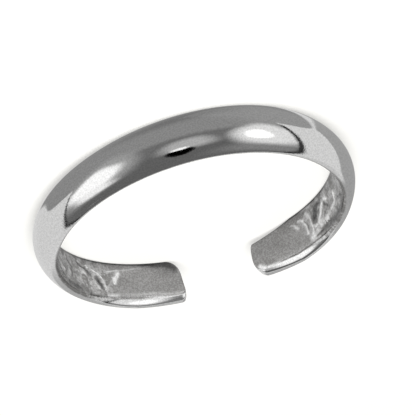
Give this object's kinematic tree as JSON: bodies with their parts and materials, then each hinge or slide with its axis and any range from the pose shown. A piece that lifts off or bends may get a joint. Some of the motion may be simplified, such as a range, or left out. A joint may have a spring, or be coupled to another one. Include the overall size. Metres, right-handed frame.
{
  "type": "toe ring",
  "caption": "Plain open toe ring: a polished half-round silver band bent to a round, with a gap at the back between a square end and a tapered end.",
  "frame": {"origin": "centre of the toe hole, half way across the width of the band", "axes": "+Z along the toe, out of the side that the picture looks down on; -Y towards the front of the band, +Y towards the gap, +X towards the square end"},
  "size_m": [0.018, 0.0177, 0.0026],
  "materials": {
    "silver": "polished silver, mirror-like outside, softer and slightly rippled inside"
  },
  "bodies": {
    "root": {"band": "silver"}
  },
  "joints": []
}
